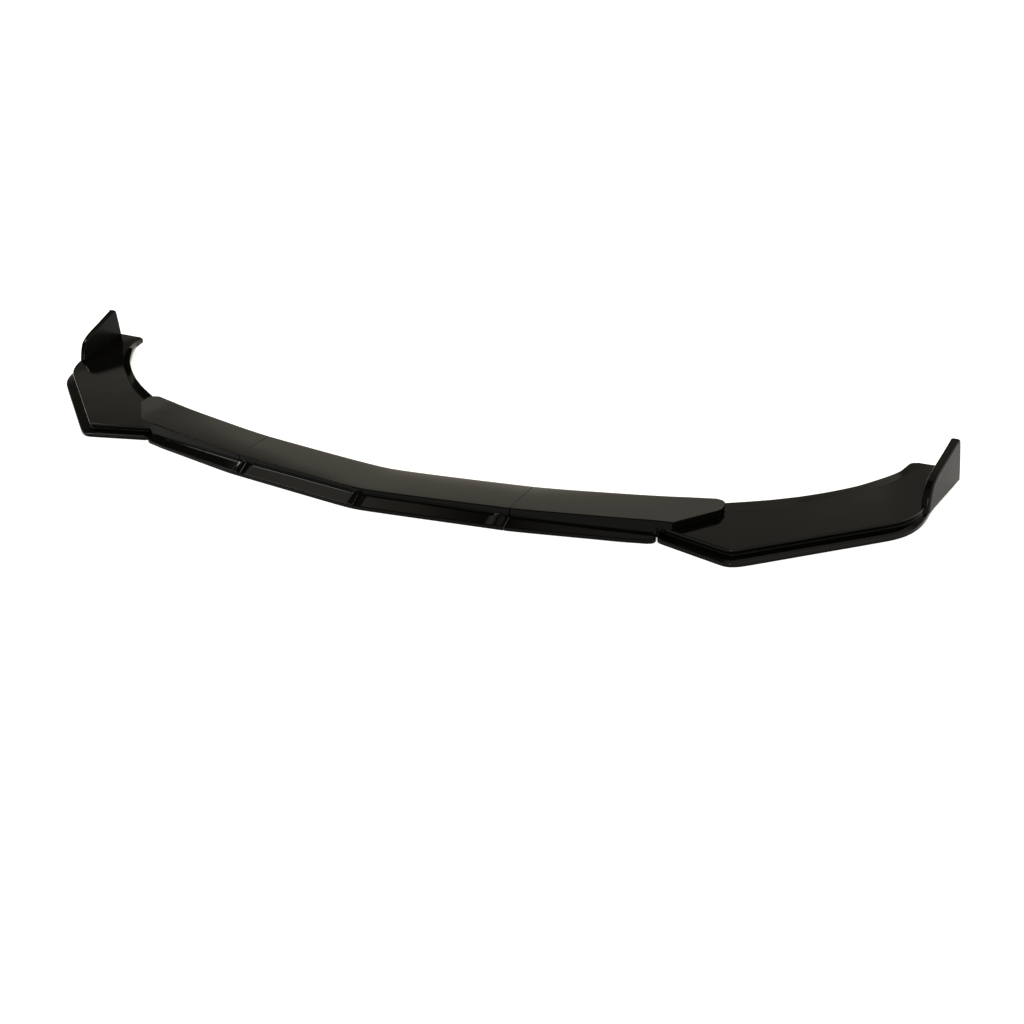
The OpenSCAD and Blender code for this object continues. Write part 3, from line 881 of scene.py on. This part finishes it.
@dataclass(frozen=True)
class CentrePanel:
    """The centre panel, from seam to seam, with its ribs and the tongues of the joints."""

    plan: LipPlan
    finish: PanelPaintedSheen

    def build(self) -> None:
        """Builds the panel."""
        plan, bench = self.plan, MeshBench("centre_panel_dressed", Side.RIGHT)
        end, gusset = plan.seam_x - plan.gap / 2, plan.gusset_x
        half = [(end - t, inset) for t, inset in rim(*SEAM_RIM)]
        half.append((260.5, 0.0))
        half += [(gusset + t, 0.0) for t in (9, 5, 1, 0, -1, -6, -12, -18, -24)]
        half += [(212 - 12.0 * k, 0.0) for k in range(16)]
        half += [(x, 0.0) for x in (21, 16, 12, 9, 6, 3.5, 1.2, 0.4)]
        whole = half + [(0.0, 0.0)] + [(-x, inset) for x, inset in reversed(half)]
        bench.loft([plan.at(x, inset) for x, inset in whole])
        step = (plan.seam_x - plan.wall) / 4
        for k in range(-3, 4):
            plan.rib(bench, k * step)
        tongue = [(260, 61), (294, 66), (298, 70), (298, 121), (294, 125), (260, 121)]
        for sign in (-1, 1):
            plan.rib(bench, sign * (end - 2.0))
            bench.plate([(sign * x, y, 11.0) for x, y in tongue], (0, 0, 3.0))
        plan.long_rib(bench, -end + 1.5, end - 1.5)
        bench.finish(Slot.PANEL, self.finish)


@dataclass(frozen=True)
class InnerPanel:
    """An inner panel, from its seam to the rounded end that laps over the side panel."""

    plan: LipPlan
    finish: PanelPaintedSheen
    side: Side

    def stations(self) -> list[Loop]:
        """Loops of the panel, from the seam outwards."""
        plan = self.plan
        start = plan.seam_x + plan.gap / 2
        loops = [plan.at(start + t, inset) for t, inset in rim(*SEAM_RIM)]
        loops += [plan.at(x) for x in (267.5, 272)]
        loops += [plan.at(272 + 10.4 * k) for k in range(1, 21)]
        loops += [self.short_lip(x) for x in (486.5, 489, 491, 493, 494.8, 496.2, 497.2, 497.8, 498.0)]
        for x, y in ((498.02, self.edge_y(498)), (510.0, self.edge_y(510)), (521.3, 99.6)):
            loops.append(self.over_blade((x, y), (x, plan.plan(x)[1])))
        slant = [(521.3, 99.6), (573.3, 163.8), (575.5, 168.3), (576.4, 173.0), (576.45, 181.0)]
        rear = [(521.3, plan.plan(521.3)[1]), (550.0, plan.plan(550)[1]), (559.0, 203.0)]
        for degrees in range(85, -1, -12):
            angle = math.radians(degrees)
            rear.append((563.5 + 12.95 * math.cos(angle), 189 + 13 * math.sin(angle)))
        rear.append((576.45, 181.0))
        for share in [0.012, 0.03] + [0.03 + 0.083 * k for k in range(1, 10)] + [0.82, 0.86, 0.885]:
            loops.append(self.over_blade(along(slant, share), along(rear, share)))
        (fx, fy), (rx, ry) = along(slant, 0.905), along(rear, 0.905)
        for t, inset in reversed(rim(1.8)[:-1]):
            loops.append(self.over_blade((fx - t * 0.9, fy), (rx - t * 0.9, ry), inset))
        return loops

    def edge_y(self, x: float) -> float:
        """Depth of the top's front edge at x."""
        foot, _, p = self.plan.plan(x)
        return foot + p

    def short_lip(self, x: float) -> Loop:
        """Loop near the lip's rounded end, where the lip draws back."""
        foot, rear, p = self.plan.plan(x)
        lip_y = foot
        if x > 490:
            lip_y = max(foot, 90.0 - 9.0 * math.sqrt(max(0.0, 1 - ((x - 490) / 8.0) ** 2)))
        edge = foot + p
        return self.plan.loop((x, edge), (x, rear), self.plan.section(x, edge - lip_y, rear - edge))

    def over_blade(self, front: Flat, rear: Flat, inset: float = 0.0) -> Loop:
        """Loop of the part that lies over the side panel's blade.

        Args:
            front: Place of the top's front edge.
            rear: Place of the top's rear edge.
            inset: How far the outline is drawn in.

        Returns:
            The closed loop.
        """
        section = self.plan.section(front[0], 0.7, math.dist(front, rear), floor=True)
        return self.plan.loop(front, rear, section, inset)

    def build(self) -> None:
        """Builds the panel with its ribs, the wall at the lip's end and the screw bosses."""
        plan = self.plan
        bench = MeshBench(f"inner_panel_{self.side.word}_dressed", self.side)
        bench.loft(self.stations())
        for x in (313, 357, 404, 446, 488.5):
            plan.rib(bench, x)
        bench.plate([(484, 98.5, 1.5), (506, 105, 1.5), (506, 105, 20), (484, 98.5, 20)], (0, 2.5, 0))
        plan.long_rib(bench, 314, 488)
        for y, high in ((78, 26.0), (114, 24.8)):
            bench.tube((plan.seam_x + 19, y), 14.0, high, 5.0, 2.0)
        for x, y in ((530, 132), (543, 158)):
            bench.tube((x, y), plan.blade_z, 31.6, 5.0, 2.0)
        bench.finish(Slot.PANEL, self.finish)


@dataclass(frozen=True)
class SidePanel:
    """A side panel's flat blade, with the upright fin that is moulded in one with it."""

    plan: SidePlan
    fin: FinPlan
    finish: PanelPaintedSheen
    side: Side

    def build(self) -> None:
        """Builds the panel."""
        bench = MeshBench(f"side_panel_{self.side.word}_dressed", self.side)
        bench.loft([self.plan.at(0.2 * k) for k in range(91)])
        for s in (4.0, 5.6, 7.6, 8.9, 9.8, 10.7, 11.7, 12.8):
            self.plan.rib(bench, s)
        bench.loft(self.fin.loops())
        bench.finish(Slot.PANEL, self.finish)


@dataclass(frozen=True)
class Lamp:
    """A square soft lamp: degrees from +Y towards +X and above the floor, metres, and watts."""

    name: str
    heading: float
    elevation: float
    distance: float
    size: float
    watts: float


@dataclass(frozen=True)
class Studio:
    """White floor, sky, soft lamps and the camera at the photograph's viewing angle."""

    azimuth: float = 27.27
    elevation: float = 28.38
    roll: float = -2.42
    focal_px: float = 1316.0
    frame_px: float = 1024.0
    camera_place: Triple = (1.112, -1.81255, 1.018)
    sensor: float = 36.0
    floor_half: float = 14.0
    floor_white: float = 0.92
    floor_glow: float = 0.76
    sky_colour: Triple = (1.0, 0.94, 0.77)
    sky_axis: Triple = (-0.45, 0.0, 1.0)
    sky_stops: tuple[Flat, ...] = (
        (0.0, 0.9), (0.45, 0.8), (0.495, 0.64), (0.53, 0.42), (0.56, 0.34), (0.604, 0.34), (0.642, 0.33),
        (0.668, 0.22), (0.7, 0.13), (0.8, 0.1))
    # Heading, elevation, inner and outer radius in degrees, and added brightness of each soft patch
    patches: tuple[tuple[float, ...], ...] = (
        (10.0, 66.0, 17.0, 25.0, 1.2), (-60.0, 53.0, 4.0, 11.0, 2.0), (-78.0, 4.0, 14.0, 34.0, -0.1))
    lamps: tuple[Lamp, ...] = (
        Lamp("left_lamp", -90.0, 48.0, 7.0, 1.7, 130.0), Lamp("front_lamp", 159.0, 7.0, 6.0, 0.7, 110.0))

    def build_camera(self) -> None:
        """Places the camera by its azimuth, elevation and roll."""
        turn, roll = math.radians(self.azimuth), math.radians(self.roll)
        ahead = self.towards(-self.azimuth, -self.elevation)
        level = Vector((math.cos(turn), math.sin(turn), 0.0))
        up = level.cross(ahead)
        right = math.cos(roll) * level + math.sin(roll) * up
        top = -math.sin(roll) * level + math.cos(roll) * up
        data = bpy.data.cameras.new("photo_camera")
        data.sensor_fit = "HORIZONTAL"
        data.sensor_width = self.sensor
        data.lens = self.focal_px * data.sensor_width / self.frame_px
        data.clip_start, data.clip_end = 0.05, 100.0
        camera = bpy.data.objects.new("photo_camera", data)
        facing = Matrix((right, top, -ahead)).transposed().to_4x4()
        camera.matrix_world = Matrix.Translation(self.camera_place) @ facing
        bpy.context.scene.collection.objects.link(camera)
        bpy.context.scene.camera = camera

    def build_floor(self) -> None:
        """Lays the white floor, which keeps the object's soft shadow."""
        mesh = bpy.data.meshes.new("floor")
        work = bmesh.new()
        bmesh.ops.create_grid(work, x_segments=2, y_segments=2, size=self.floor_half)
        work.to_mesh(mesh)
        work.free()
        floor = bpy.data.objects.new("floor", mesh)
        bpy.context.scene.collection.objects.link(floor)
        material = bpy.data.materials.new("white_floor")
        material.use_nodes = True
        nodes, links = material.node_tree.nodes, material.node_tree.links
        shader = nodes["Principled BSDF"]
        shader.inputs["Base Color"].default_value = (*[self.floor_white] * 3, 1.0)
        shader.inputs["Roughness"].default_value = 0.9
        shader.inputs["Specular IOR Level"].default_value = 0.1
        shader.inputs["Emission Color"].default_value = (1.0, 1.0, 1.0, 1.0)
        rays = nodes.new("ShaderNodeLightPath").outputs
        seen = combine(material.node_tree, "MAXIMUM", rays["Is Camera Ray"], rays["Is Glossy Ray"])
        seen = combine(material.node_tree, "MAXIMUM", seen, rays["Is Transmission Ray"])
        glow = nodes.new("ShaderNodeMath")
        glow.operation = "MULTIPLY"
        glow.inputs[1].default_value = self.floor_glow
        links.new(seen, glow.inputs[0])
        links.new(glow.outputs["Value"], shader.inputs["Emission Strength"])
        mesh.materials.append(material)

    @staticmethod
    def towards(heading: float, elevation: float) -> Vector:
        """Unit vector at a heading from +Y towards +X and an elevation, both in degrees."""
        turn, rise = math.radians(heading), math.radians(elevation)
        return Vector((math.sin(turn) * math.cos(rise), math.cos(turn) * math.cos(rise), math.sin(rise)))

    def build_world(self) -> None:
        """Makes the sky: bright below, dim above, with two soft bright patches and a dark one."""
        world = bpy.data.worlds.new("studio_sky")
        world.use_nodes = True
        nodes, links = world.node_tree.nodes, world.node_tree.links
        shade = nodes["Background"]
        shade.inputs["Color"].default_value = (*self.sky_colour, 1.0)
        place = nodes.new("ShaderNodeTexCoord")

        def along_axis(axis: Triple) -> bpy.types.NodeSocket:
            """Adds a node that measures the sky's direction along an axis."""
            dot = nodes.new("ShaderNodeVectorMath")
            dot.operation = "DOT_PRODUCT"
            dot.inputs[1].default_value = axis
            links.new(place.outputs["Generated"], dot.inputs[0])
            return dot.outputs["Value"]

        ramp = nodes.new("ShaderNodeValToRGB")
        links.new(along_axis(self.sky_axis), ramp.inputs["Fac"])
        elements = ramp.color_ramp.elements
        while len(elements) < len(self.sky_stops):
            elements.new(0.5)
        for element, (where, level) in zip(elements, self.sky_stops):
            element.position = where
            element.color = (level, level, level, 1.0)
        light = ramp.outputs["Color"]
        for heading, elevation, inner, outer, level in self.patches:
            patch = nodes.new("ShaderNodeMapRange")
            patch.interpolation_type = "SMOOTHSTEP"
            patch.inputs["From Min"].default_value = math.cos(math.radians(outer))
            patch.inputs["From Max"].default_value = math.cos(math.radians(inner))
            patch.inputs["To Max"].default_value = level
            links.new(along_axis(self.towards(heading, elevation)), patch.inputs["Value"])
            light = combine(world.node_tree, "ADD", light, patch.outputs["Result"])
        links.new(light, shade.inputs["Strength"])
        bpy.context.scene.world = world

    def build_lamp(self, lamp: Lamp) -> None:
        """Hangs a lamp that looks at the middle of the object."""
        way = self.towards(lamp.heading, lamp.elevation)
        data = bpy.data.lights.new(lamp.name, "AREA")
        data.shape = "SQUARE"
        data.size = lamp.size
        data.energy = lamp.watts
        thing = bpy.data.objects.new(lamp.name, data)
        thing.location = way * lamp.distance
        thing.rotation_mode = "QUATERNION"
        thing.rotation_quaternion = way.to_track_quat("Z", "Y")
        bpy.context.scene.collection.objects.link(thing)

    def build(self) -> None:
        """Builds the whole studio."""
        self.build_camera()
        self.build_floor()
        self.build_world()
        for lamp in self.lamps:
            self.build_lamp(lamp)


@dataclass(frozen=True)
class FastenerDress:
    """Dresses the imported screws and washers, which keep their own mesh."""

    nodes: dict[str, bpy.types.Object]

    def dress(self, names: tuple[str, ...], material: bpy.types.Material) -> None:
        """Gives the named nodes a material.

        Args:
            names: Node names.
            material: The material that they all take.
        """
        for name in names:
            node = self.nodes[name]
            if not node.material_slots:
                node.data.materials.append(material)
            for slot in node.material_slots:
                slot.material = material
            LOG.info("%s wears %s", name, material.name)


def corners(pair: tuple[Vector, Vector]) -> list[list[float]]:
    """Turns a pair of corners into plain lists."""
    return [[round(float(v), 6) for v in corner] for corner in pair]


def main() -> None:
    """Builds the dressed part and its studio."""
    logging.basicConfig(level=logging.INFO, format="%(name)s: %(message)s")
    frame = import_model()
    bpy.context.scene.view_settings.view_transform = "Standard"
    surface = MouldedSurface().build()
    # Copies of one gloss-black plastic whose reflection strengths paint light and shade: the centre copy
    # paints bright highlights on the tops, the blade copy is dimmer, and the front and fin copies paint
    # shade.
    painted_dim = MouldedGloss("gloss_black_front_painted_shade", roughness=0.06, specular=0.06).build(surface)
    painted_dim_satin = MouldedGloss("satin_black_fin_painted_shade", colour=(0.004, 0.004, 0.0035), roughness=0.27, haze=0.06,
                         specular=0.04).build(surface)
    blade = PanelPaintedSheen(MouldedGloss("gloss_black_blade_painted_shade", specular=0.16).build(surface), painted_dim, painted_dim_satin)
    centre = MouldedGloss("gloss_black_centre_painted_highlight", roughness=0.06, haze=0.05, specular=0.95).build(surface)
    top = PanelPaintedSheen(centre, painted_dim, painted_dim_satin)
    lip, side_plan, fin = LipPlan(), SidePlan(), FinPlan()
    CentrePanel(lip, top).build()
    for side in Side:
        InnerPanel(lip, top, side).build()
        SidePanel(side_plan, fin, blade, side).build()
    steel = ZincSteel().build()
    hardware = tuple(n for n in frame["nodes"] if "washers" in n or "screws" in n)
    FastenerDress(frame["nodes"]).dress(hardware, steel)
    Studio().build()


if __name__ == "__main__":
    main()
